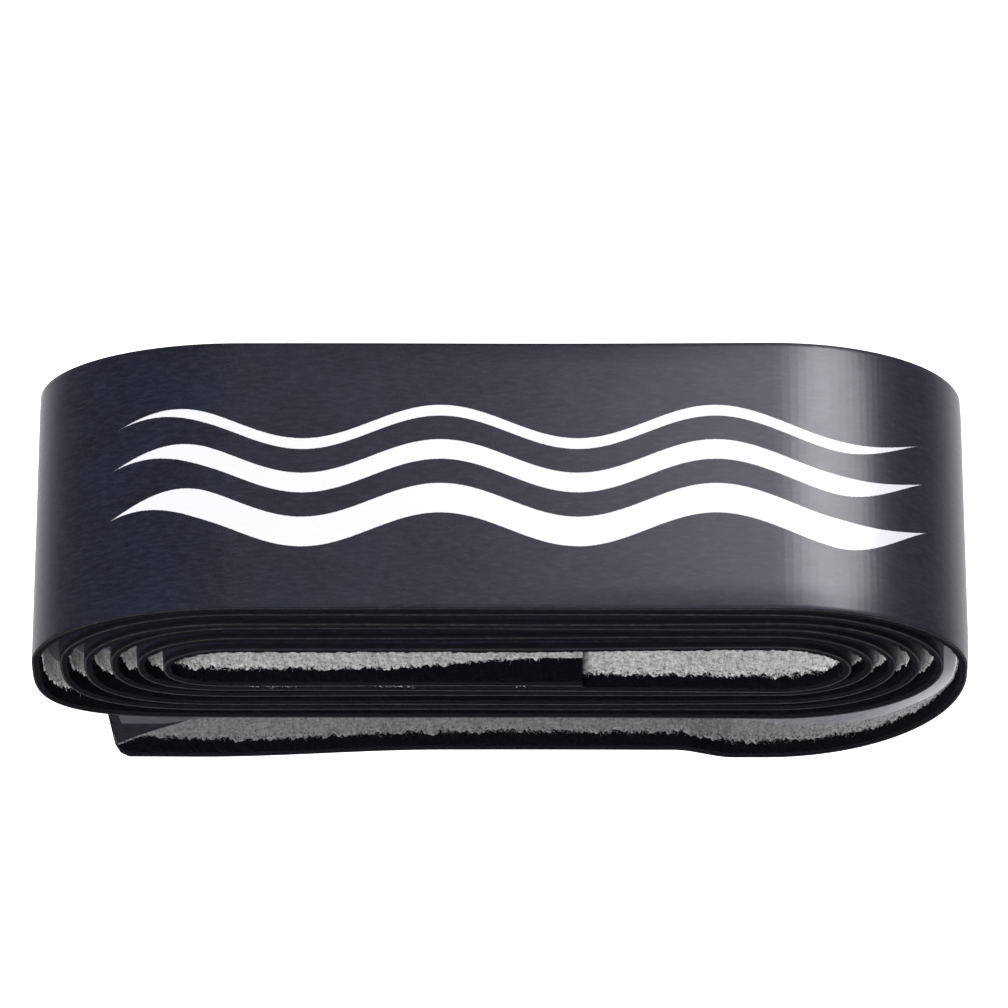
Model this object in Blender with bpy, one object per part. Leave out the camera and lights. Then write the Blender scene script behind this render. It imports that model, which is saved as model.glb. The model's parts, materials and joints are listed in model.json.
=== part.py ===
"""Grip tape roll: a cushioned racket grip tape wound into a flattened roll.

The tape is a laminate: a smooth outer skin, a foam core with its two long edges
skived thin on the inner side, a felt backing, and an adhesive strip under a
release liner. It is wound from its inner end outward in six flattened turns, and
its outer end, the tail, runs back under the coil and carries it.

Frame: +X along the roll's length, +Y across the tape's width, +Z up.
The roll lies on z = 0 with its middle over the origin. Metres.
"""

import math

import bmesh
import bpy
from mathutils import Matrix

# ---------------------------------------------------------------- driving sizes
MM = 0.001

TAPE_WIDTH = 30.0 * MM          # edge to edge, across the tape
SKIVE_WIDTH = 1.6 * MM          # how far each thinned edge reaches in
SKIVE_EDGE = 0.72 * MM          # depth of the foam's inner side at the very edge

# Depths below the skin's outer face, layer by layer from outside to inside.
SKIN = (0.00 * MM, 0.20 * MM)
FOAM = (0.22 * MM, 0.90 * MM)
FELT = (0.92 * MM, 1.04 * MM)
ADHESIVE = (1.055 * MM, 1.095 * MM)
LINER = (1.11 * MM, 1.15 * MM)

FELT_WIDTH = TAPE_WIDTH - 2 * SKIVE_WIDTH
ADHESIVE_WIDTH = 22.0 * MM
LINER_WIDTH = 22.4 * MM

TURNS = 6
PITCH = 1.28 * MM               # height from one turn's outer face to the next
TOP_Z = 27.3 * MM               # outer face of the outermost turn, on top
COIL_BOTTOM_Z = 7.3 * MM        # outer face of the lowest turn above the tail

LEFT_CENTRE_X = -25.2 * MM      # the left bends turn round this line
LEFT_ASPECT = 1.93              # their length over their height
SAG_FULLNESS = 2.4              # how square the lower left bends sag, 2 is an ellipse
OUTER_SAG = 1.1                 # and how much squarer the outermost turn sags
RIGHT_CENTRE_X = 26.0 * MM
RIGHT_ASPECT = 1.725

INNER_END_X = 7.8 * MM          # the inner end lies on the hollow's floor
HINGE_X = 44.5 * MM             # crest of the loose right-hand bend, where it flexes
HINGE_Z = 15.7 * MM
HINGE_LEG = 0.6 * MM            # straight stretch of the crest, above and below
HINGE_GAP = 0.1 * MM            # between the coil's layers and the tail's
LOOSE_TOP_REACH = 18.5 * MM     # how far the loose bend reaches over the top
LOOSE_FOOT_REACH = 19.0 * MM    # and under the coil, down to its foot

FOOT_LENGTH = 3.0 * MM          # flat stretch of the tail that meets the table
TAIL_RISE = 1.4 * MM            # the tail's middle stands this far off the table
RISE_LENGTH = 5.9 * MM
FALL_START_X = -5.9 * MM
FALL_END_X = -29.4 * MM
TAIL_END_X = -36.9 * MM         # the tail's end at its near edge
TAIL_SLANT_DEG = 13.0           # the cut runs back under the coil
TAIL_OVERLENGTH = 12.0 * MM     # wound past its end, then trimmed on the slant
TAB_GAP = 0.3 * MM              # between the adhesive strip and the end tab
TRIM_BLOCK = 40.0 * MM          # side of the block that trims the tail

BEND_STEP_DEG = 15.0            # turning between two stations of a bend
WAVE_STEPS = 4                  # stations of each gentle rise or fall
WELD = 1e-7                     # merge distance for the sweeps' loose caps

# ---------------------------------------------------------------- clean scene
for old in list(bpy.data.objects):
    bpy.data.objects.remove(old, do_unlink=True)

parts = bpy.data.collections.new("grip_tape_roll")
cutters = bpy.data.collections.new("cutters")
bpy.context.scene.collection.children.link(parts)
bpy.context.scene.collection.children.link(cutters)


# ---------------------------------------------------------------- materials
def material(name, colour, roughness, metallic=0.0):
    """One Principled material in a part's own colour."""
    mat = bpy.data.materials.new(name)
    mat.use_nodes = True
    shader = mat.node_tree.nodes["Principled BSDF"]
    shader.inputs["Base Color"].default_value = (*colour, 1.0)
    shader.inputs["Roughness"].default_value = roughness
    shader.inputs["Metallic"].default_value = metallic
    return mat


skin_finish = material("tape_skin", (0.022, 0.024, 0.038), 0.42)
foam_finish = material("tape_foam", (0.006, 0.006, 0.009), 0.95)
felt_finish = material("tape_felt", (0.34, 0.34, 0.34), 0.95)
adhesive_finish = material("tape_adhesive", (0.30, 0.29, 0.26), 0.30)
liner_finish = material("tape_liner", (0.27, 0.27, 0.30), 0.35)
tab_finish = material("tape_end_tab", (0.020, 0.020, 0.026), 0.35)


# ---------------------------------------------------------------- winding path
def bend(centre, reach, height, start_deg, end_deg, fullness=2.0):
    """Points of a bend, evenly spaced in the angle that it turns.

    centre, reach and height are the bend's centre and half axes. The angles are
    those of the outward normal, counter-clockwise from +X. A fullness of 2 gives
    an ellipse, and a greater one presses the bend out into its corner.
    """
    count = max(1, round(abs(end_deg - start_deg) / BEND_STEP_DEG))
    points = []
    for i in range(count + 1):
        angle = math.radians(start_deg + (end_deg - start_deg) * i / count)
        cosine, sine = math.cos(angle), math.sin(angle)
        along = (reach * abs(cosine)) ** (1 / (fullness - 1))
        up = (height * abs(sine)) ** (1 / (fullness - 1))
        size = (along ** fullness + up ** fullness) ** (1 / fullness)
        points.append((centre[0] + math.copysign(reach * along / size, cosine),
                       centre[1] + math.copysign(height * up / size, sine)))
    return points


def wave(start, end):
    """Points of a gentle S between two level stretches, without its start."""
    points = []
    for i in range(1, WAVE_STEPS + 1):
        share = i / WAVE_STEPS
        ease = share * share * (3 - 2 * share)
        points.append((start[0] + (end[0] - start[0]) * share,
                       start[1] + (end[1] - start[1]) * ease))
    return points


def top_height(turn):
    """Height of a turn's outer face along the top; turn 1 is outermost."""
    return TOP_Z - PITCH * (turn - 1)


def bottom_height(turn):
    """Height of the outer face under the coil; turn 2 lies lowest."""
    return COIL_BOTTOM_Z + PITCH * (turn - 2)


def left_bend(turn):
    """From the bottom of the next turn in, up to the top of this turn.

    The lower half sags into its corner, the outer turns more than the inner ones.
    """
    low, high = bottom_height(turn + 1), top_height(turn)
    height = (high - low) / 2
    centre = (LEFT_CENTRE_X, (high + low) / 2)
    fullness = SAG_FULLNESS + OUTER_SAG / turn
    lower = bend(centre, LEFT_ASPECT * height, height, 270, 180, fullness)
    return lower[:-1] + bend(centre, LEFT_ASPECT * height, height, 180, 90)


def right_bend(turn):
    """From the top of this turn down to its own bottom."""
    low, high = bottom_height(turn), top_height(turn)
    height = (high - low) / 2
    centre = (RIGHT_CENTRE_X, (high + low) / 2)
    return bend(centre, RIGHT_ASPECT * height, height, 90, -90)


def coil_path():
    """Outer face of the tape from its inner end to the loose bend's crest."""
    points = [(INNER_END_X, bottom_height(TURNS + 1))]
    for turn in range(TURNS, 1, -1):
        points += left_bend(turn)
        points += right_bend(turn)
    points += left_bend(1)
    crest_z = HINGE_Z + HINGE_LEG
    points += bend((HINGE_X - LOOSE_TOP_REACH, crest_z),
                   LOOSE_TOP_REACH, TOP_Z - crest_z, 90, 0)
    points.append((HINGE_X, HINGE_Z + HINGE_GAP / 2))
    return points


def tail_path():
    """Outer face from the loose bend's crest, down and back under the coil."""
    foot_x = HINGE_X - LOOSE_FOOT_REACH
    crest_z = HINGE_Z - HINGE_LEG
    points = [(HINGE_X, HINGE_Z - HINGE_GAP / 2)]
    points += bend((foot_x, crest_z), LOOSE_FOOT_REACH, crest_z, 0, -90)
    foot_end = (foot_x - FOOT_LENGTH, 0.0)
    rise_end = (foot_end[0] - RISE_LENGTH, TAIL_RISE)
    points.append(foot_end)
    points += wave(foot_end, rise_end)
    points.append((FALL_START_X, TAIL_RISE))
    points += wave((FALL_START_X, TAIL_RISE), (FALL_END_X, 0.0))
    points.append((TAIL_END_X - TAIL_OVERLENGTH, 0.0))
    return points


# ---------------------------------------------------------------- layer sections
def strip_section(width, depths):
    """A flat strip's section: across the tape, and down from its outer face."""
    half = width / 2
    outer, inner = depths
    return [(-half, outer), (half, outer), (half, inner), (-half, inner)]


def foam_section():
    """The foam's section, thinned towards both edges on its inner side."""
    half = TAPE_WIDTH / 2
    flat = half - SKIVE_WIDTH
    outer, inner = FOAM
    return [(-half, outer), (half, outer), (half, SKIVE_EDGE), (flat, inner),
            (-flat, inner), (-half, SKIVE_EDGE)]


def poly_curve(name, points, dimensions, cyclic):
    """A curve object with one straight-sided spline through the points."""
    curve = bpy.data.curves.new(name, "CURVE")
    curve.dimensions = dimensions
    spline = curve.splines.new("POLY")
    spline.points.add(len(points) - 1)
    for point, place in zip(spline.points, points):
        point.co = (*place, 1.0)
    spline.use_cyclic_u = cyclic
    return bpy.data.objects.new(name, curve)


def weld_and_face_out(mesh):
    """Join a sweep's loose end caps to it and point its faces outward."""
    work = bmesh.new()
    work.from_mesh(mesh)
    bmesh.ops.remove_doubles(work, verts=work.verts, dist=WELD)
    bmesh.ops.recalc_face_normals(work, faces=work.faces)
    work.to_mesh(mesh)
    work.free()


def wound_layer(name, path, section, finish):
    """Sweep a layer's section along the winding path and close its two ends.

    The path is drawn flat, where the section keeps upright, and then stood up.
    """
    outline = [(depth, across, 0.0) for across, depth in section]
    profile = poly_curve(name + "_section", outline, "2D", True)
    cutters.objects.link(profile)
    rail = poly_curve(name + "_rail", [(x, z, 0.0) for x, z in path], "3D", False)
    rail.data.twist_mode = "Z_UP"
    rail.data.bevel_mode = "OBJECT"
    rail.data.bevel_object = profile
    rail.data.use_fill_caps = True
    parts.objects.link(rail)
    bpy.context.view_layer.update()

    evaluated = rail.evaluated_get(bpy.context.evaluated_depsgraph_get())
    mesh = bpy.data.meshes.new_from_object(evaluated)
    mesh.name = name
    bpy.data.objects.remove(rail)
    bpy.data.objects.remove(profile)
    mesh.transform(Matrix.Rotation(math.radians(90), 4, "X"))
    weld_and_face_out(mesh)
    mesh.materials.clear()
    mesh.materials.append(finish)
    mesh.shade_smooth()
    mesh.set_sharp_from_angle(angle=math.radians(30))
    layer = bpy.data.objects.new(name, mesh)
    parts.objects.link(layer)
    return layer


# ---------------------------------------------------------------- tail trim
def trim_block():
    """A block whose side face is the slanted cut at the tail's end."""
    slant = math.radians(TAIL_SLANT_DEG)
    middle_x = TAIL_END_X - TAPE_WIDTH / 2 * math.tan(slant)
    bpy.ops.mesh.primitive_cube_add(size=TRIM_BLOCK)
    block = bpy.context.active_object
    block.name = "tail_trim"
    block.rotation_euler.z = slant
    block.location = (middle_x - TRIM_BLOCK / 2 * math.cos(slant),
                      -TRIM_BLOCK / 2 * math.sin(slant), 0.0)
    for home in list(block.users_collection):
        home.objects.unlink(block)
    cutters.objects.link(block)
    block.hide_render = True
    block.display_type = "WIRE"
    return block


def trim(layer, block):
    """Cut a layer's end off along the block's side."""
    cut = layer.modifiers.new("slanted_end", "BOOLEAN")
    cut.operation = "DIFFERENCE"
    cut.object = block


# ---------------------------------------------------------------- the laminate
LAYERS = (
    ("skin", strip_section(TAPE_WIDTH, SKIN), skin_finish),
    ("foam", foam_section(), foam_finish),
    ("felt", strip_section(FELT_WIDTH, FELT), felt_finish),
    ("adhesive", strip_section(ADHESIVE_WIDTH, ADHESIVE), adhesive_finish),
    ("liner", strip_section(LINER_WIDTH, LINER), liner_finish),
)

coil = coil_path()
tail = tail_path()
tail_before_tab = [place for place in tail if place[0] >= FALL_END_X]
tab_path = [(FALL_END_X - TAB_GAP, 0.0), tail[-1]]
slanted_end = trim_block()

for layer_name, section, finish in LAYERS:
    wound_layer(layer_name + "_coil", coil, section, finish)
    if layer_name == "adhesive":
        wound_layer("adhesive_tail", tail_before_tab, section, finish)
    else:
        trim(wound_layer(layer_name + "_tail", tail, section, finish), slanted_end)

end_tab = wound_layer("end_tab", tab_path, strip_section(FELT_WIDTH, ADHESIVE), tab_finish)
trim(end_tab, slanted_end)
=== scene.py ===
# %% [markdown]
# # A flattened roll of racket grip tape
#
# The tape is a laminate: a smooth synthetic-leather skin, a black foam core whose
# long edges are skived thin, a grey felt, an adhesive strip and its release liner.
# It is wound into a flattened coil and its outer end, the tail, lies underneath.
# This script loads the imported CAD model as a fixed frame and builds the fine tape
# around it: every layer is modelled flat, as it leaves the laminating machine, and
# is then wound along one rail with a Curve modifier.

# %% Load the frame
import json
import math

import bpy
import numpy as np
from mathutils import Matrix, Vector


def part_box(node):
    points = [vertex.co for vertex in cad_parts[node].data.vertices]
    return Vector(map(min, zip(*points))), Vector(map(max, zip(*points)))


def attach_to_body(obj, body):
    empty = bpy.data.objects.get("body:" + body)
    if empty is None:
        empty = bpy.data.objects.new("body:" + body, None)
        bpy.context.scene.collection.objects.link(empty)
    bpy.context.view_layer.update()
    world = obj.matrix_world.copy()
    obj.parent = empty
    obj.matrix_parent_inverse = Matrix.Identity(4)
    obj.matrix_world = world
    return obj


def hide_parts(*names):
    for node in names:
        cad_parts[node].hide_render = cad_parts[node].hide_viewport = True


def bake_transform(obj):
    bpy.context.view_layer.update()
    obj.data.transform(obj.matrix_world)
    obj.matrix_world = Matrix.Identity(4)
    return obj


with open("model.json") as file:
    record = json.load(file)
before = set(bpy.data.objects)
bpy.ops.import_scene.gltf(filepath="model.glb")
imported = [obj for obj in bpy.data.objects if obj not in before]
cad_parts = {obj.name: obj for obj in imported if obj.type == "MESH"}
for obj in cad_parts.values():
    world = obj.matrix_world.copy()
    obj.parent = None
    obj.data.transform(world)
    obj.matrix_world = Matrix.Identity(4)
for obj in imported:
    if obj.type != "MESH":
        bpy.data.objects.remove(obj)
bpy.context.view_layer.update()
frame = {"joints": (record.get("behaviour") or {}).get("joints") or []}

MM = 0.001

# %% [markdown]
# ## Sizes
# Places come from the CAD nodes' boxes and from the joint, so the looks can't
# drift from the frame. Only the make-up of the laminate is named here.

# %% Sizes read from the frame
coil_low, coil_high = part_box("skin_coil")
tail_low, tail_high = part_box("skin_tail")
crest = Vector(frame["joints"][0]["pos_m"])

tape_width = coil_high.y - coil_low.y
half_width = tape_width / 2
top_z = coil_high.z
coil_bottom_z = coil_low.z
print("tape width", round(tape_width / MM, 2), "mm, crest of the bend at", crest,
      "and tail from", round(tail_low.x / MM, 2), "to", round(tail_high.x / MM, 2), "mm")

# %% Sizes of the laminate and the winding
TURNS = 6
PITCH = 1.28 * MM
SKIN_DEPTH = 0.20 * MM
FOAM_DEPTH = 0.91 * MM
FELT_DEPTH = 1.06 * MM
ADHESIVE_DEPTH = 1.09 * MM
LINER_DEPTH = 1.14 * MM
SKIVE_WIDTH = 1.6 * MM
EDGE_DEPTH = 0.74 * MM
ADHESIVE_HALF = 11.0 * MM
LINER_HALF = 11.2 * MM

LEFT_CENTRE_X = -25.2 * MM
LEFT_ASPECT = 1.93
SAG_FULLNESS = 2.4
OUTER_SAG = 1.1
RIGHT_CENTRE_X = 26.0 * MM
RIGHT_ASPECT = 1.725
INNER_END_X = 7.8 * MM
CREST_LEG = 0.6 * MM
LOOSE_TOP_REACH = 18.5 * MM
LOOSE_FOOT_REACH = 19.0 * MM
FOOT_LENGTH = 3.0 * MM
TAIL_RISE = 1.4 * MM
RISE_LENGTH = 5.9 * MM
FALL_START_X = -5.9 * MM
FALL_END_X = -29.4 * MM
TAIL_END_X = -36.9 * MM
TAIL_SLANT = math.tan(math.radians(13.0))
SLANT_LENGTH = 16 * MM       # the last stretch, which is drawn out to the slanted end
OVERLENGTH = 14 * MM         # how far the rail runs past the tail's near corner
CORNER = 1.4 * MM            # radius of the tail's near corner
SPLIT_X = 20.5 * MM          # on the top face, where the loose stretch begins
LINER_SHORT = 0.8 * MM       # how much short of the tail's end the liner stops
FILM_WIDTH = 26.2 * MM
FILM_INSET = 1.9             # mm from the tape's edge to the film's, before it is slanted
FILM_LEAD = 2.6 * MM         # how far past the fall the film starts

# %% [markdown]
# ## The rail
# All turns share one rail, the path of the skin's outer face. The flat runs are
# straight, and the ends are half ellipses, longer than high, so the turns lie tight
# on each other in the middle and fan out at the ends. At the lower left they sag into
# a fuller bend. The rail is drawn in the XY plane, where a curve with Z-up twist never
# rolls over, and the wound pieces are stood up afterwards.


# %% Draw the winding path
BEND_STEP = 1.5        # degrees between two points of a bend
WAVE_POINTS = 25


def bend(centre, reach, height, start_deg, end_deg, fullness=2.0):
    """Points of a bend, evenly spaced in the angle that it turns.

    A fullness of 2 gives an ellipse, and more presses the bend into its corner.
    """
    count = round(abs(end_deg - start_deg) / BEND_STEP)
    angles = np.radians(np.linspace(start_deg, end_deg, count + 1))
    cosine, sine = np.cos(angles), np.sin(angles)
    along = (reach * np.abs(cosine)) ** (1 / (fullness - 1))
    up = (height * np.abs(sine)) ** (1 / (fullness - 1))
    size = (along ** fullness + up ** fullness) ** (1 / fullness)
    return np.stack([centre[0] + np.sign(cosine) * reach * along / size,
                     centre[1] + np.sign(sine) * height * up / size], 1)


def wave(start, end):
    """A gentle S between two level stretches, without its start."""
    share = np.linspace(0, 1, WAVE_POINTS)[1:]
    ease = share * share * (3 - 2 * share)
    return np.stack([start[0] + (end[0] - start[0]) * share,
                     start[1] + (end[1] - start[1]) * ease], 1)


def top_height(turn):
    """Height of a turn's upper run; the outermost turn is number 1."""
    return top_z - PITCH * (turn - 1)


def bottom_height(turn):
    """Height of the lower run that a turn's right-hand bend comes down to."""
    return coil_bottom_z + PITCH * (turn - 2)


def side_bend(turn, left):
    """A turn's bend at one end of the coil, in the order that the tape runs."""
    low, high = bottom_height(turn + 1 if left else turn), top_height(turn)
    height, middle = (high - low) / 2, (high + low) / 2
    if not left:
        return bend((RIGHT_CENTRE_X, middle), RIGHT_ASPECT * height, height, 90, -90)
    centre, reach = (LEFT_CENTRE_X, middle), LEFT_ASPECT * height
    sagging = bend(centre, reach, height, 270, 180, SAG_FULLNESS + OUTER_SAG / turn)
    return np.concatenate([sagging[:-1], bend(centre, reach, height, 180, 90)])


def winding_path():
    """Every point of the tape's outer face, from its inner end to the tail's end."""
    runs = [[(INNER_END_X, bottom_height(TURNS + 1))]]
    for turn in range(TURNS, 1, -1):
        runs += [side_bend(turn, True), side_bend(turn, False)]
    runs.append(side_bend(1, True))
    upper, lower = crest.z + CREST_LEG, crest.z - CREST_LEG
    foot_x = crest.x - LOOSE_FOOT_REACH
    foot_end = (foot_x - FOOT_LENGTH, 0.0)
    fall_start = (FALL_START_X, TAIL_RISE)
    runs.append(bend((crest.x - LOOSE_TOP_REACH, upper),
                     LOOSE_TOP_REACH, top_z - upper, 90, 0))
    runs.append(bend((foot_x, lower), LOOSE_FOOT_REACH, lower, 0, -90))
    runs.append([foot_end])
    runs.append(wave(foot_end, (foot_end[0] - RISE_LENGTH, TAIL_RISE)))
    runs.append([fall_start])
    runs.append(wave(fall_start, (FALL_END_X, 0.0)))
    runs.append([(TAIL_END_X - OVERLENGTH, 0.0)])
    return np.concatenate(runs)


path = winding_path()
steps = np.hypot(*np.diff(path, axis=0).T)
path_s = np.concatenate([[0], np.cumsum(steps)])
headings = np.unwrap(np.arctan2(*np.diff(path, axis=0).T[::-1]))
turning = np.concatenate([[0], np.abs(np.diff(headings)), [0]])
print("rail", len(path), "points,", round(path_s[-1], 4), "m")


# %% Make the rail curve
def rail_curve():
    """The rail as a curve object, one straight piece between two points."""
    curve = bpy.data.curves.new("winding_rail", "CURVE")
    curve.dimensions = "3D"
    curve.twist_mode = "Z_UP"
    spline = curve.splines.new("POLY")
    spline.points.add(len(path) - 1)
    flat = np.zeros((len(path), 4))
    flat[:, :2], flat[:, 3] = path, 1
    spline.points.foreach_set("co", flat.ravel())
    rail = bpy.data.objects.new("winding_rail", curve)
    bpy.context.scene.collection.objects.link(rail)
    return rail


rail = rail_curve()

# %% [markdown]
# ## Stations along the tape
# A strip needs many short steps where it bends tightly and where its cut edges are
# ragged. One measure adds length and turning, and equal steps of it are spread
# along each span. The tape is built in four spans, so that no mesh grows too heavy:
# the core round the hollow, the inner turns, the outer turn, and the loose stretch
# that flexes. The first and the last are seen closest and get the finest steps.

# %% Choose the stations
COARSE = 1.0
TURN_STEP = math.radians(4)
FINE_STEP, PLAIN_STEP = 0.11, 0.28      # mm
measure = np.cumsum(np.concatenate([[0], steps / MM]) + turning / TURN_STEP * PLAIN_STEP)


def nearest_s(x, z):
    """Distance along the rail of the point nearest to a place on it."""
    return path_s[np.argmin(np.hypot(path[:, 0] - x, path[:, 1] - z))]


core_end_s = nearest_s(LEFT_CENTRE_X, bottom_height(TURNS))
outer_start_s = nearest_s(LEFT_CENTRE_X, coil_bottom_z)
top_start_s = nearest_s(LEFT_CENTRE_X, top_z)
crest_s = nearest_s(crest.x, crest.z)
split_s = top_start_s + SPLIT_X - LEFT_CENTRE_X
near_end_s = path_s[-1] - OVERLENGTH
face_middle = (top_start_s - LEFT_CENTRE_X) / MM      # middle of the broad face, mm along the tape
SPANS = {"core": (0.0, core_end_s, FINE_STEP),
         "inner": (core_end_s, outer_start_s, PLAIN_STEP),
         "outer": (outer_start_s, split_s, PLAIN_STEP),
         "loose": (split_s, near_end_s, FINE_STEP)}


def stations(start, end, step):
    """Distances along the rail where a strip gets a row of points."""
    first, last = np.interp([start, end], path_s, measure)
    count = max(2, round((last - first) / (step * COARSE)))
    return np.interp(np.linspace(first, last, count + 1), measure, path_s)


for span, (start, end, step) in SPANS.items():
    print(span, round(end - start, 4), "m in", len(stations(start, end, step)), "stations")

# %% [markdown]
# ## A strip, modelled flat
# A grid primitive is the cheapest closed strip: its columns run along the tape and
# its rows go once round the section, so shaping it is a matter of moving points.
# The seam is merged, the two ends are filled, and the Curve modifier winds it. Each
# point also keeps where it was on the flat tape in an attribute, and all materials
# read that, so their patterns follow the tape round every bend.


# %% Helpers for noise that is the same on every run, and for soft steps
LATTICE = 257


def lattice_noise(x, y, seed):
    """Smooth noise from -1 to 1 with one bump for each unit of x and y."""
    table = np.random.default_rng(seed).uniform(-1, 1, (LATTICE, LATTICE))
    xi, yi = np.floor(x).astype(int), np.floor(y).astype(int)
    fx, fy = x - xi, y - yi
    fx, fy = fx * fx * (3 - 2 * fx), fy * fy * (3 - 2 * fy)

    def corner(i, j):
        return table[(xi + i) % LATTICE, (yi + j) % LATTICE]

    low = corner(0, 0) * (1 - fx) + corner(1, 0) * fx
    high = corner(0, 1) * (1 - fx) + corner(1, 1) * fx
    return low * (1 - fy) + high * fy


def ramp(value, low, high):
    """0 up to low, 1 from high on, and a soft step between."""
    share = np.clip((value - low) / (high - low), 0, 1)
    return share * share * (3 - 2 * share)


def hump(s, centre, start, full, fade, end):
    """0, rising to 1 and back to 0, at four distances in millimetres from the centre."""
    reach = (s - centre) / MM
    return ramp(reach, start, full) * (1 - ramp(reach, fade, end))


# %% How the whole tape wanders and flexes
SWAYS = ((0.13, 52.0, 1.3), (0.06, 18.7, 0.4))       # size, length and phase, in mm
CURLS = ((0.08, 21.0), (0.04, 6.7))                  # size and length, in mm
CURL_START = 12.5 * MM


def wander(s):
    """The winding is never quite true: the inner turns stand a little forward."""
    amount = sum(size * np.sin(s / (length * MM) + phase) for size, length, phase in SWAYS)
    amount = amount - 0.30 * (1 - ramp(s, core_end_s - 50 * MM, core_end_s))
    amount = amount - 0.32 * (1 - ramp(s, 70 * MM, 100 * MM))
    return MM * amount * (1 - ramp(s, outer_start_s - 60 * MM, outer_start_s))


def flex(s, across):
    """The thinned edges curl towards the felt, by an amount that varies."""
    phase = np.where(across < 0, 0.6, 2.1)
    amount = 0.09 + sum(size * np.sin(s / (length * MM) + phase) for size, length in CURLS)
    return MM * np.clip(amount, 0, 1) * ramp(np.abs(across), CURL_START, half_width) ** 1.5


def end_reach(across):
    """How much further the slanted tail end reaches, with its rounded corner."""
    inset = np.clip(across + half_width, 0, None)
    missing = np.clip(CORNER - inset, 0, None)
    rounding = CORNER - np.sqrt(np.clip(CORNER ** 2 - missing ** 2, 0, None))
    return inset * TAIL_SLANT - rounding


# %% Build and wind a strip
MERGE_REACH = 1e-7
SMOOTH_ANGLE = math.radians(50)


def select_only(obj):
    """Selects one object alone, so that operators touch nothing else."""
    bpy.ops.object.select_all(action="DESELECT")
    obj.select_set(True)
    bpy.context.view_layer.objects.active = obj


def place_flat(obj, s, across, depth):
    """Moves a mesh's points to the flat tape and notes them in its attribute."""
    tape = np.stack([s, across, depth], 1)
    note = obj.data.attributes.new("tape", "FLOAT_VECTOR", "POINT")
    note.data.foreach_set("vector", tape.astype(np.float32).ravel())
    end_share = ramp(s, near_end_s - SLANT_LENGTH, near_end_s)
    s = s + end_reach(across) * end_share
    depth = depth + flex(s, across)
    across = across + wander(s)
    flat = np.stack([s, -depth, -across], 1)
    obj.data.vertices.foreach_set("co", flat.astype(np.float32).ravel())
    obj.data.update()


def wind(obj):
    """Winds a flat piece along the rail and stands it up."""
    select_only(obj)
    bender = obj.modifiers.new("wind", "CURVE")
    bender.object = rail
    bender.deform_axis = "POS_X"
    bpy.ops.object.modifier_apply(modifier=bender.name)
    obj.rotation_euler.x = math.radians(90)
    bpy.ops.object.transform_apply(location=False, rotation=True, scale=False)


def strip(name, section, start, end, step, roughen=None):
    """A closed strip with this section, wound from start to end along the rail.

    section lists (across, depth) points once round. roughen may move the flat
    points: it takes and returns distance along, across and depth.
    """
    along = stations(start, end, step)
    columns, rows = len(along) - 1, len(section)
    bpy.ops.mesh.primitive_grid_add(x_subdivisions=columns, y_subdivisions=rows, size=1)
    obj = bpy.context.active_object
    obj.name = obj.data.name = name
    grid = np.zeros(len(obj.data.vertices) * 3, np.float32)
    obj.data.vertices.foreach_get("co", grid)
    grid = grid.reshape(-1, 3)
    column = np.rint((grid[:, 0] + 0.5) * columns).astype(int)
    row = np.rint((grid[:, 1] + 0.5) * rows).astype(int) % rows
    ring = np.array(section)
    s, across, depth = along[column], ring[row, 0], ring[row, 1]
    if roughen:
        s, across, depth = roughen(s, across, depth)
    place_flat(obj, s, across, depth)
    bpy.ops.object.mode_set(mode="EDIT")
    bpy.ops.mesh.select_all(action="SELECT")
    bpy.ops.mesh.remove_doubles(threshold=MERGE_REACH)
    bpy.ops.mesh.fill_holes(sides=0)
    bpy.ops.mesh.select_all(action="SELECT")
    bpy.ops.mesh.normals_make_consistent(inside=False)
    bpy.ops.object.mode_set(mode="OBJECT")
    wind(obj)
    bpy.ops.object.shade_smooth_by_angle(angle=SMOOTH_ANGLE)
    print(name, len(obj.data.polygons), "faces")
    return obj


# %% [markdown]
# ## Wiring the materials
# Shader maths is written as Python expressions. `Wire` is one socket: adding or
# multiplying wires adds Math nodes. `Finish` is one material, and its `node` method
# makes any other node from its type, its settings and its sockets.


# %% Wires and finishes
class Wire:
    """An output socket that takes part in arithmetic."""

    def __init__(self, finish, socket):
        self.finish, self.socket = finish, socket

    def math(self, operation, *others):
        """A Math node that takes this wire first."""
        return self.finish.node("ShaderNodeMath", {"operation": operation},
                                dict(enumerate((self, *others))))

    def __add__(self, other):
        return self.math("ADD", other)

    def __sub__(self, other):
        return self.math("SUBTRACT", other)

    def __rsub__(self, other):
        return self * -1 + other

    def __mul__(self, other):
        return self.math("MULTIPLY", other)

    def above(self, level, soft):
        """0 below the level, 1 above it, with a soft step between."""
        return self.finish.node("ShaderNodeMapRange", {"interpolation_type": "SMOOTHSTEP"},
                                {"Value": self, "From Min": level - soft,
                                 "From Max": level + soft})

    __radd__, __rmul__ = __add__, __mul__


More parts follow.
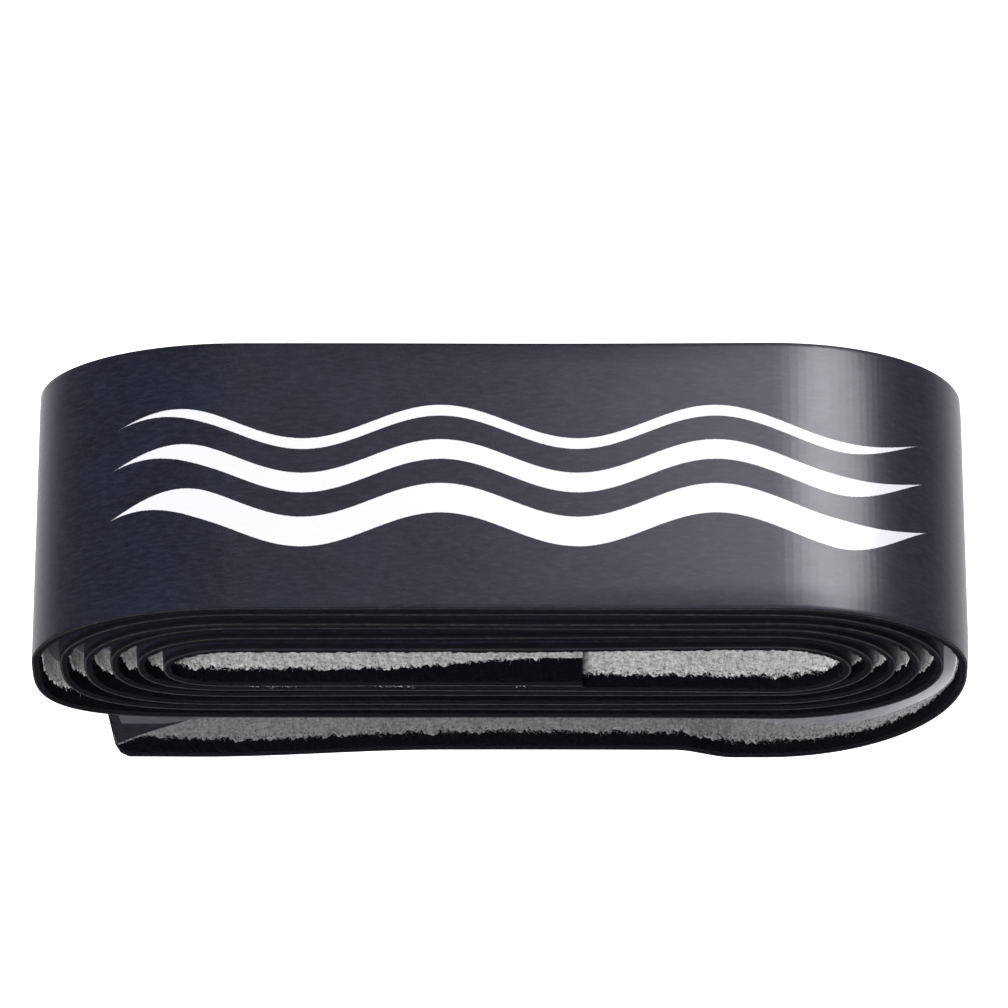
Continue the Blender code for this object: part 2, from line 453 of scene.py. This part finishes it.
class Finish:
    """One material: a Principled shader with constants, fed by wires."""

    def __init__(self, name, **constants):
        self.material = bpy.data.materials.new(name)
        self.material.use_nodes = True
        self.tree = self.material.node_tree
        self.shader = self.tree.nodes["Principled BSDF"]
        for socket, value in constants.items():
            self.shader.inputs[socket.replace("_", " ")].default_value = value

    def node(self, kind, settings, sockets, output=0):
        """Any node, from its type, its settings and its sockets' wires or values."""
        made = self.tree.nodes.new(kind)
        for key, value in settings.items():
            setattr(made, key, value)
        for key, value in sockets.items():
            if isinstance(value, Wire):
                self.tree.links.new(value.socket, made.inputs[key])
            else:
                made.inputs[key].default_value = value
        return Wire(self, made.outputs[output])

    def tape(self):
        """Where a point lies on the flat tape, in millimetres."""
        place = self.node("ShaderNodeAttribute", {"attribute_name": "tape"}, {}, "Vector")
        return self.node("ShaderNodeVectorMath", {"operation": "SCALE"},
                         {0: place, "Scale": 1 / MM})

    def parts(self, vector):
        """A vector's three parts as wires."""
        return [self.node("ShaderNodeSeparateXYZ", {}, {0: vector}, axis) for axis in range(3)]

    def noise(self, place, scale, detail, stretch=(1, 1, 1), turn=0.0, roughness=0.5):
        """Noise with about one bump for each 1/scale millimetres."""
        place = self.node("ShaderNodeMapping", {},
                          {"Vector": place, "Scale": stretch, "Rotation": (0, 0, turn)})
        return self.node("ShaderNodeTexNoise", {},
                         {"Vector": place, "Scale": scale, "Detail": detail,
                          "Roughness": roughness})

    def mix(self, share, first, second):
        """A colour between two, either of which may be a wire."""
        first, second = (c if isinstance(c, Wire) else (*c, 1.0) for c in (first, second))
        return self.node("ShaderNodeMix", {"data_type": "RGBA"},
                         {0: share, 6: first, 7: second}, output=2)

    def bump(self, height, distance, strength):
        """A normal that is tilted by a height; the distance is in metres."""
        return self.node("ShaderNodeBump", {},
                         {"Height": height, "Distance": distance, "Strength": strength})

    def feed(self, **wires):
        """Links wires to the shader's own sockets."""
        for socket, wire in wires.items():
            self.tree.links.new(wire.socket, self.shader.inputs[socket.replace("_", " ")])


def dress(obj, finish):
    """Gives a piece its finish as its only material."""
    obj.data.materials.clear()
    obj.data.materials.append(finish.material)


# %% [markdown]
# ## The skin
# The outer face is a thin polyurethane skin with a faint fibrous grain, cast on a
# release paper. It is charcoal with a cool cast, and its gloss has two parts: a broad
# soft one from the grain and a tighter one from the clear top coat, which draws the
# bright bands where the tape bends. Where it is cut, the raw edge shows as a fine
# broken line that is a little paler.
#
# The print is a plain pattern of three wave stripes that taper at both ends. It is
# worked out in the shader from the place on the flat tape, so it bends with the tape.

# %% Where the print lies on the tape
PRINT_START = face_middle - 38.5      # mm along the tape
PRINT_LENGTH = 81.0
PRINT_TAPER = 5.5                     # half the length of each tapering end
INK_SPREAD = 0.08
WAVE_LENGTH = 26.2
WAVE_HEIGHT = 1.9
STRIPES = [(-4.6, 3.3), (0.9, 2.2), (5.3, 1.2)]      # place across the tape, thickness


def print_mask(finish, tape):
    """1 on the printed stripes and 0 elsewhere."""
    along, across = finish.parts(tape)[:2]
    along = along - PRINT_START
    ragged = finish.noise(tape, 5.0, detail=2) - 0.5
    swing = (along * (2 * math.pi / WAVE_LENGTH)).math("SINE") * WAVE_HEIGHT
    taper = (along.above(PRINT_TAPER, PRINT_TAPER)
             * (1 - along.above(PRINT_LENGTH - PRINT_TAPER, PRINT_TAPER)))
    mask = 0
    for height, thickness in STRIPES:
        away = (across - swing - height).math("ABSOLUTE") + ragged * 0.10
        inside = taper * (thickness / 2 + INK_SPREAD) - away - INK_SPREAD
        mask = inside.above(0.0, 0.045) + mask
    return mask


# %% Skin finish
def skin_finish():
    finish = Finish("tape_skin", IOR=1.45, Specular_IOR_Level=0.22,
                    Coat_Roughness=0.26, Coat_IOR=1.5)
    tape = finish.tape()
    along, across = finish.parts(tape)[:2]
    edge_reach = across.math("ABSOLUTE")
    clouds = finish.noise(tape, 0.16, detail=3)
    blotches = finish.noise(tape, 0.6, detail=5, roughness=0.65)
    streaks = finish.noise(tape, 1.5, detail=6, stretch=(0.45, 1.7, 1), turn=1.1,
                           roughness=0.65)
    crossed = finish.noise(tape, 1.8, detail=6, stretch=(0.5, 1.6, 1), turn=-0.7,
                           roughness=0.65)
    pores = finish.noise(tape, 7.0, detail=3)
    grain = streaks * 0.40 + crossed * 0.32 + pores * 0.28
    uneven = (blotches - 0.5) * 0.5 + (grain - 0.5) * 0.5
    shade = finish.mix(clouds.above(0.5, 0.22), (0.0085, 0.0092, 0.0165),
                       (0.0120, 0.0130, 0.0245))
    shade = finish.mix(grain.above(0.54, 0.10) * 0.5, shade, (0.030, 0.032, 0.052))
    shade = finish.mix(print_mask(finish, tape), shade, (0.74, 0.74, 0.80))
    cut = edge_reach.above(half_width / MM - 0.08, 0.02)
    broken = finish.noise(tape, 1.1, detail=5, roughness=0.75).above(0.57, 0.12)
    cut_shade = finish.mix(broken, (0.003, 0.003, 0.0045), (0.014, 0.014, 0.016))
    in_coil = 1 - along.above(outer_start_s / MM - 4, 3)
    # Painted shade: near their edges the inner turns' skin is painted near black and loses its
    # coat, standing in for the shade under the turn above.
    rim_painted_shade = edge_reach.above(half_width / MM - 0.65, 0.25) * in_coil
    shade = finish.mix(rim_painted_shade * 0.85, shade, (0.0015, 0.0015, 0.0025))
    unworn = along.above(face_middle + 12, 26) * 0.65 + 0.25
    unworn = unworn * (1 - along.above(crest_s / MM - 8, 3) * 0.75)
    finish.feed(Base_Color=finish.mix(cut, shade, cut_shade),
                Roughness=0.48 + (grain - 0.5) * 0.5 + (blotches - 0.5) * 0.3 + cut * 0.3,
                Coat_Weight=(unworn + uneven) * (1 - cut) * (1 - rim_painted_shade),
                Normal=finish.bump(grain, 0.05 * MM, 0.7))
    return finish


skin = skin_finish()

# %% Skin strips
ROUND_OFF, ROUND_IN, ROUND_DOWN = 0.06 * MM, 0.01 * MM, 0.02 * MM
skin_section = [(-half_width + ROUND_OFF, 0.0)]
skin_section += [(x * MM, 0.0) for x in (-14.5, -13.5, -12, -6, 0, 6, 12, 13.5, 14.5)]
skin_section += [(half_width - ROUND_OFF, 0.0), (half_width - ROUND_IN, ROUND_DOWN),
                 (half_width, ROUND_OFF), (half_width, SKIN_DEPTH)]
skin_section += [(x * MM, SKIN_DEPTH) for x in (13, 0, -13)]
skin_section += [(-half_width, SKIN_DEPTH), (-half_width, ROUND_OFF),
                 (-half_width + ROUND_IN, ROUND_DOWN)]


def attach(obj, span):
    """Inner spans are put on the coil's body, and the loose one keeps its place in the world."""
    if span == "loose":
        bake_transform(obj)
    else:
        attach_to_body(obj, "coil")


def add_layer(layer, section, finish, roughen=None, until=None):
    """A layer's four spans, in place of its CAD nodes; the inner ones are put on the coil's body.
    """
    made = []
    for span, (start, end, step) in SPANS.items():
        end = min(end, until) if until else end
        obj = strip(f"{layer}_{span}", section, start, end, step, roughen)
        dress(obj, finish)
        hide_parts(f"{layer}_tail" if span == "loose" else f"{layer}_coil")
        attach(obj, span)
        obj["length"] = end - start
        made.append(obj)
    return made


skins = add_layer("skin", skin_section, skin)

# %% [markdown]
# ## The foam
# The core is a closed-cell foam. The slitting knife leaves its edge slightly rough,
# and the skive leaves a torn, open slope down to the felt. Both are near black.


# %% Foam finish
def foam_finish():
    finish = Finish("tape_foam", IOR=1.35, Specular_IOR_Level=0.05)
    tape = finish.tape()
    cells = finish.noise(tape, 5.5, detail=5, roughness=0.7)
    tears = finish.noise(tape, 1.3, detail=4, stretch=(0.5, 1.4, 1.4))
    shade = finish.mix(cells.above(0.52, 0.2), (0.0020, 0.0021, 0.0034),
                       (0.0048, 0.0049, 0.0075))
    lint = cells.above(0.70, 0.03) * tears.above(0.5, 0.1)
    finish.feed(Base_Color=finish.mix(lint, shade, (0.05, 0.05, 0.055)),
                Roughness=0.85 + (cells - 0.5) * 0.3,
                Normal=finish.bump(cells * 0.7 + tears * 0.3, 0.14 * MM, 0.8))
    return finish


foam = foam_finish()

# %% Foam strips
skive = [(half_width - SKIVE_WIDTH * t, EDGE_DEPTH + (FOAM_DEPTH - EDGE_DEPTH) * t)
         for t in (0.0, 0.2, 0.42, 0.64, 0.84, 1.0)]
foam_edge = [(half_width, SKIN_DEPTH + (EDGE_DEPTH - SKIN_DEPTH) * t) for t in (0.0, 0.3, 0.65)]
foam_half = foam_edge + skive + [(10 * MM, FOAM_DEPTH)]
foam_section = foam_half + [(-x, d) for x, d in reversed(foam_half)]
foam_section.append((0.0, SKIN_DEPTH))


def roughen_foam(s, across, depth):
    """Pits the cut edge and tears the skive."""
    side = np.sign(across)
    reach = np.abs(across)
    u, v, w = s / MM, depth / MM, reach / MM
    on_skive = ramp(depth, 0.5 * MM, 0.75 * MM) * ramp(reach, 11 * MM, 13.6 * MM)
    on_edge = ramp(reach, half_width - 0.3 * MM, half_width) * ramp(depth, 0.2 * MM, 0.32 * MM)
    pits = 0.06 + 0.07 * lattice_noise(u / 0.34, v / 0.2 + 5, 11)
    torn = 0.05 * lattice_noise(u / 0.9, w / 0.5, 12) + 0.07 * lattice_noise(u / 0.3, w / 0.3, 13)
    return s, across - side * MM * pits * on_edge, depth + MM * (torn - 0.02) * on_skive


foams = add_layer("foam", foam_section, foam, roughen_foam)

# %% [markdown]
# ## The felt
# A grey non-woven backs the foam. Where the skive cuts through it, its border is
# ragged and single fibres stick out over the black slope. The ragged border is real
# geometry, and the loose fibres are a piece of their own. The skive runs wider at
# both ends of the tape, where the knife came in at a slant. The felt of the loose
# stretch is painted darker, as painted shade for the shadow under the coil.


# %% Felt finish
felt_half_width = half_width - SKIVE_WIDTH + 0.15 * MM


def felt_finish():
    finish = Finish("tape_felt", Sheen_Weight=0.2, Sheen_Roughness=0.6, IOR=1.3,
                    Specular_IOR_Level=0.2)
    tape = finish.tape()
    along, across = finish.parts(tape)[:2]
    near_border = across.math("ABSOLUTE").above(felt_half_width / MM - 0.5, 0.7)
    fuzz = finish.noise(tape, 4.0, detail=6, roughness=0.75)
    strands = finish.noise(tape, 2.2, detail=5, stretch=(0.5, 1.5, 1), turn=0.6,
                           roughness=0.7)
    crossed = finish.noise(tape, 2.0, detail=5, stretch=(1.4, 0.5, 1), turn=0.4,
                           roughness=0.7)
    weave = fuzz * 0.45 + strands * 0.3 + crossed * 0.25
    shade = finish.mix(weave.above(0.5, 0.12), (0.21, 0.21, 0.22), (0.66, 0.66, 0.65))
    pits = 1 - (fuzz - near_border * 0.09).above(0.37, 0.03)
    shade = finish.mix(pits, shade, (0.03, 0.03, 0.034))
    # Painted shade: the felt of the loose stretch is painted darker, for the shadow under the
    # coil.
    tail_painted_shade = along.above(split_s / MM + 30, 40)
    shade = finish.mix(tail_painted_shade * 0.68, shade, (0.035, 0.035, 0.045))
    pressed = 1 - along.above(45.0, 30)
    shade = finish.mix(pressed * 0.15, shade, (0.05, 0.05, 0.05))
    finish.feed(Base_Color=shade, Roughness=0.9 + (fuzz - 0.5) * 0.15,
                Normal=finish.bump(weave, 0.3 * MM, 0.9))
    return finish


felt = felt_finish()

# %% Felt strips
tab_start_s = nearest_s(FALL_END_X + FILM_LEAD, 0.0)
FELT_EDGE = ((0.0, 0.10), (0.12, 0.03), (0.3, 0.0), (0.6, 0.0), (1.2, 0.0), (2.0, 0.0))
felt_face = [(felt_half_width - x * MM, FELT_DEPTH - d * MM) for x, d in FELT_EDGE]
felt_section = felt_face + [(-x, d) for x, d in reversed(felt_face)]
felt_section += [(-felt_half_width, FOAM_DEPTH), (0.0, FOAM_DEPTH - 0.01 * MM),
                 (felt_half_width, FOAM_DEPTH)]

# Distances from the tail's near end, and how far in the border lies there, in mm.
FELT_END = ((0.0, 0.8, 2.7, 4.8, 8.0, 14.0), (0.80, 1.10, 1.92, 1.78, 1.62, 1.45))
FILM_BORDER = ((0.0, 0.8, 2.7, 8.2, 10.6), (0.90, 1.20, 2.02, 3.95, 4.9))


def felt_inset(s, side):
    """How much further in than usual the felt's border runs."""
    from_end = (near_end_s - s) / MM
    inner = 1.5 * (1 - ramp(s, 0.0, 22 * MM))
    outer = np.interp(from_end, *FELT_END) - FELT_END[1][-1]
    drift = 0.10 * np.sin(s / 0.0093 + side) * ramp(from_end, 4.0, 14.0)
    return MM * (np.where(side < 0, inner + outer, 0.3 * outer) + drift)


def roughen_felt(s, across, depth):
    """Frays the border and lifts its tufts."""
    side = np.sign(across)
    reach = np.abs(across)
    u, w = s / MM, reach / MM
    border = ramp(reach, felt_half_width - 1.3 * MM, felt_half_width)
    fray = (0.08 * lattice_noise(u / 1.6, side * 3 + 8, 21)
            + 0.20 * lattice_noise(u / 0.45, side + 5, 22)
            + 0.22 * lattice_noise(u / 0.23, side + 2, 23))
    face = ramp(depth, FOAM_DEPTH, FELT_DEPTH)
    tuft = (0.07 * lattice_noise(u / 0.42, w / 0.42, 24)
            + 0.04 * lattice_noise(u / 0.22, w / 0.3, 25))
    covered = ramp(s, near_end_s - 4.5 * MM, near_end_s - 2.5 * MM)
    moved = (MM * fray * (1 - 0.9 * covered) - felt_inset(s, side)) * border
    pressed = 0.03 * ramp(s, tab_start_s, tab_start_s + 4 * MM)
    return s, across + side * moved, depth + MM * (tuft * (1 - covered) - pressed) * face


felts = add_layer("felt", felt_section, felt, roughen_felt)

# %% [markdown]
# ## Loose fibres
# Thousands of fibres stand out of the felt's border, and a few scraps of lint cling to
# the cut edge near the inner end, where the knife dragged them. Each is a bent
# three-sided needle. Placing them one by one with operators would take minutes, so all
# needles of a span are written into one mesh, which is wound like any other layer.

# %% Fibres
RINGS, CORNERS = 4, 3        # of one needle
LINT_MOST = 30               # fibres of the largest scrap, and a few more
# Scraps of lint: distance from the inner end, half their spread, number of fibres.
LINT = ((6.0, 0.5, 14), (16.4, 0.3, 8), (18.5, 1.2, 26), (28.6, 1.5, 24), (31.2, 0.4, 8))


def needle_faces():
    """The faces of one needle, as numbers of its own points."""
    faces = []
    for ring in range(RINGS - 1):
        for corner in range(CORNERS):
            after = (corner + 1) % CORNERS
            faces.append((ring * CORNERS + corner, ring * CORNERS + after,
                          (ring + 1) * CORNERS + after, (ring + 1) * CORNERS + corner))
    tip = tuple((RINGS - 1) * CORNERS + corner for corner in (2, 1, 0))
    return faces + [(0, 1, 2), tip]


def fibres(span, per_mm_near, per_mm_far, seed):
    """All loose fibres of a span, so many for each millimetre of its two borders."""
    start, end, _ = SPANS[span]
    rng = np.random.default_rng(seed)
    near, far = (int((end - start) / MM * density / COARSE)
                 for density in (per_mm_near, per_mm_far))
    count = near + far
    side = np.repeat([-1.0, 1.0], [near, far])
    s = rng.uniform(start + 0.5 * MM, end - 0.5 * MM, count)
    length = rng.gamma(3.0, 0.085, count).clip(0.08, 0.6) * MM
    heading = rng.normal(0, 0.75, count)
    curl = rng.normal(0, 1.0, count)
    thick = rng.uniform(0.014, 0.032, count) * MM
    root = felt_half_width - felt_inset(s, side) - rng.uniform(-0.1, 0.3, count) * MM
    height = FELT_DEPTH - rng.uniform(0.0, 0.08, count) * MM
    lift = rng.uniform(-0.10, 0.16, count)
    lint = np.zeros(count, dtype=bool)
    for i, (middle, reach, number) in enumerate(LINT if span == "core" else ()):
        picked = slice(i * LINT_MOST, i * LINT_MOST + number)
        lint[picked] = True
        s[picked] = (middle + reach * rng.uniform(-1, 1, number)) * MM
        root[picked] = half_width + rng.uniform(-0.02, 0.06, number) * MM
        height[picked] = rng.uniform(0.0, 0.16, number) * MM
        heading[picked] = rng.choice([-1.4, 1.4], number)
        length[picked] *= 0.7
    points = []
    for ring in range(RINGS):
        share = ring / (RINGS - 1)
        turn = heading + curl * share
        along = s + length * share * np.sin(turn)
        out = root + length * share * np.cos(turn)
        up = height + length * share * lift
        slope_limit = FOAM_DEPTH + 0.03 * MM - ramp(out, 13.4 * MM, half_width) * 0.14 * MM
        up = np.where(lint, up, np.maximum(up, slope_limit))
        for corner in range(CORNERS):
            angle = 2 * math.pi * corner / CORNERS
            radius = thick * (1 - 0.75 * share)
            points.append(np.stack([along + radius * math.cos(angle) * np.cos(turn),
                                    side * (out - radius * math.cos(angle) * np.sin(turn)),
                                    up + radius * math.sin(angle)], 1))
    points = np.stack(points, 1).reshape(-1, 3)
    one_needle = needle_faces()
    faces = [tuple(point + needle * RINGS * CORNERS for point in face)
             for needle in range(count) for face in one_needle]
    mesh = bpy.data.meshes.new(f"fibres_{span}")
    mesh.from_pydata(points.tolist(), [], faces)
    obj = bpy.data.objects.new(mesh.name, mesh)
    bpy.context.scene.collection.objects.link(obj)
    place_flat(obj, *points.T)
    wind(obj)
    select_only(obj)
    bpy.ops.object.mode_set(mode="EDIT")
    bpy.ops.mesh.select_all(action="SELECT")
    bpy.ops.mesh.normals_make_consistent(inside=False)
    bpy.ops.object.mode_set(mode="OBJECT")
    bpy.ops.object.shade_smooth()
    dress(obj, felt)
    attach(obj, span)
    print(obj.name, count, "fibres")


fibres("core", 16.0, 5.0, 31)
fibres("inner", 4.0, 1.5, 32)
fibres("outer", 6.0, 3.0, 33)
fibres("loose", 16.0, 5.0, 34)

# %% [markdown]
# ## Adhesive and liner
# The adhesive is a thin tacky strip along the middle of the felt. A smooth release
# liner covers it until the tape is used. The liner was laid by machine and wanders
# sideways a little, most of all round the loose bend.


# %% Adhesive and liner finishes
def adhesive_finish():
    finish = Finish("tape_adhesive", IOR=1.45)
    cloud = finish.noise(finish.tape(), 1.2, detail=4)
    finish.feed(Base_Color=finish.mix(cloud, (0.42, 0.40, 0.34), (0.55, 0.53, 0.46)),
                Roughness=0.25 + cloud * 0.2)
    return finish


def liner_finish():
    finish = Finish("tape_liner", IOR=1.45)
    tape = finish.tape()
    along = finish.parts(tape)[0]
    fibre = finish.noise(tape, 3.0, detail=5, stretch=(0.5, 1.5, 1))
    ripple = finish.noise(tape, 0.22, detail=2, stretch=(1.6, 0.4, 1))
    shade = finish.mix(fibre.above(0.5, 0.2), (0.190, 0.190, 0.225), (0.245, 0.245, 0.280))
    # Painted light: the liner round the loose bend is painted much paler, standing in for the
    # light that falls on it there.
    bend_painted_light = along.above(crest_s / MM - 6, 6) * (1 - along.above(crest_s / MM + 10, 12))
    shade = finish.mix(bend_painted_light, shade, (0.80, 0.80, 0.85))
    # Painted shade: the liner at the tail's end is painted darker, standing in for the shade
    # there.
    end_painted_shade = along.above(near_end_s / MM - 12, 6)
    shade = finish.mix(end_painted_shade * 0.7, shade, (0.035, 0.035, 0.045))
    finish.feed(Base_Color=shade, Roughness=0.36 + (fibre - 0.5) * 0.2,
                Normal=finish.bump(ripple + fibre * 0.04, 0.25 * MM, 0.4))
    return finish


adhesive, liner = adhesive_finish(), liner_finish()


# %% Adhesive and liner strips
def flat_section(half, outer, inner):
    """The section of a thin film between two depths."""
    return ([(across, outer) for across in (-half, 0.0, half)]
            + [(across, inner) for across in (half, 0.0, -half)])


def shift_liner(s, across, depth):
    """Lets the adhesive and its liner wander sideways."""
    at_bend = hump(s, crest_s, -30, -5, 14, 34)
    at_crest = hump(s, crest_s, -6, -1, 3, 14)
    at_end = ramp(s, near_end_s - 9 * MM, near_end_s - 4.5 * MM)
    at_core = 1 - ramp(s, core_end_s - 40 * MM, core_end_s)
    forward = 1.6 * at_bend + 0.8 * at_crest + 0.6 * at_end - 0.5 * at_core
    return s, across - MM * forward, depth


adhesives = add_layer("adhesive", flat_section(ADHESIVE_HALF, FELT_DEPTH, ADHESIVE_DEPTH),
                      adhesive, shift_liner, until=tab_start_s)
liners = add_layer("liner", flat_section(LINER_HALF, ADHESIVE_DEPTH, LINER_DEPTH),
                   liner, shift_liner, until=near_end_s - LINER_SHORT)

# %% [markdown]
# ## End tab
# A thin dark film covers the felt on the tail's last stretch and keeps it from
# fraying. Its front border runs in a slanted curve, from near the cut corner back
# under the liner. It is laid over the felt, so it takes the adhesive's place there.


# %% End tab
def tab_finish():
    finish = Finish("tape_end_tab", IOR=1.5)
    tape = finish.tape()
    ripple = finish.noise(tape, 0.5, detail=3)
    scuffs = finish.noise(tape, 3.0, detail=5, stretch=(0.4, 2.0, 1))
    shade = finish.mix(scuffs.above(0.5, 0.2), (0.012, 0.012, 0.018), (0.022, 0.022, 0.030))
    finish.feed(Base_Color=shade, Roughness=0.34 + scuffs * 0.2,
                Normal=finish.bump(ripple, 0.1 * MM, 0.3))
    return finish


def slant_tab(s, across, depth):
    """Draws the film's front border in its slanted curve."""
    from_end = (near_end_s - s) / MM
    border = np.interp(from_end, *FILM_BORDER)
    pull = ramp(-across, 0.0, FILM_WIDTH / 2)
    return s, across + MM * (border - FILM_INSET) * pull, depth


tab = tab_finish()
end_tab = strip("end_film", flat_section(FILM_WIDTH / 2, FELT_DEPTH, ADHESIVE_DEPTH),
                tab_start_s + 0.1 * MM, near_end_s, FINE_STEP, slant_tab)
dress(end_tab, tab)
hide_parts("end_tab")
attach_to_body(end_tab, "tail")

# %% [markdown]
# ## Floor, light and camera
# The roll lies on a plain white table under soft boxes: a large key in front and
# above and two small ones behind for the sheen on the broad face, brighter on the
# right. The table glows softly by itself, so it shows no shadow and throws light into
# the gaps. The room itself is dim, so the skin stays dark where it mirrors no box.

# %% Floor and world
FLOOR_SIZE, FLOOR_Z = 6.0, -0.0002
GLOW_REACH, GLOW_FADE = 0.115, 0.045      # the table glows round the roll, in metres
bpy.ops.object.select_all(action="DESELECT")
bpy.ops.mesh.primitive_plane_add(size=FLOOR_SIZE, location=(0, 0, FLOOR_Z))
floor = bpy.context.active_object
floor.name = "floor"
paper = Finish("light_table", Roughness=0.9, Base_Color=(0.6, 0.6, 0.6, 1),
               Specular_IOR_Level=0.1, Emission_Strength=1.7)
place = paper.node("ShaderNodeTexCoord", {}, {}, "Object")
to_right = paper.parts(place)[0].above(0.0, 0.25)
from_middle = paper.node("ShaderNodeVectorMath", {"operation": "LENGTH"}, {0: place}, "Value")
glow = paper.mix(to_right, (0.52, 0.52, 0.53), (1.0, 1.0, 1.0))
paper.feed(Emission_Color=paper.mix(from_middle.above(GLOW_REACH, GLOW_FADE), glow,
                                    (0.12, 0.12, 0.12)))
floor.data.materials.append(paper.material)

world = bpy.data.worlds.new("studio")
world.use_nodes = True
sky = world.node_tree.nodes["Background"].inputs
sky["Color"].default_value = (0.95, 0.97, 1.0, 1)
sky["Strength"].default_value = 0.06
bpy.context.scene.world = world
bpy.context.scene.view_settings.view_transform = "Standard"


# %% Soft boxes
def soft_box(name, place, size, watts, aim=(0, 0, 0.015), tint=(1, 1, 1)):
    """A rectangular area light that faces a point."""
    light = bpy.data.lights.new(name, "AREA")
    light.shape = "RECTANGLE"
    light.size, light.size_y = size
    light.energy = watts
    light.color = tint
    obj = bpy.data.objects.new(name, light)
    obj.location = place
    obj.rotation_euler = (Vector(aim) - Vector(place)).to_track_quat("-Z", "Y").to_euler()
    bpy.context.scene.collection.objects.link(obj)


soft_box("key", (-0.35, -0.85, 0.85), (0.8, 0.6), 22)
soft_box("sheen", (0.135, 0.16, 0.265), (0.12, 0.12), 0.46,
         aim=(0.03, 0, 0.026), tint=(0.97, 0.95, 1.0))
soft_box("sheen_wide", (0.065, 0.17, 0.29), (0.13, 0.12), 0.14,
         aim=(0.02, 0, 0.026), tint=(0.92, 0.93, 1.0))

# %% Camera
ELEVATION = math.radians(57.3)
DISTANCE = 0.85                            # metres
LENS, SENSOR = 318.4, 36.0                 # mm
TARGET = Vector((0.00032, 0.0, 0.02197))
camera_data = bpy.data.cameras.new("camera")
camera_data.sensor_width = SENSOR
camera_data.lens = LENS
camera_data.clip_start = 0.01
camera = bpy.data.objects.new("camera", camera_data)
camera.location = TARGET + DISTANCE * Vector((0, -math.cos(ELEVATION), math.sin(ELEVATION)))
camera.rotation_euler = (math.pi / 2 - ELEVATION, 0, 0)
bpy.context.scene.collection.objects.link(camera)
bpy.context.scene.camera = camera

# %% Clean up
bpy.data.objects.remove(rail)
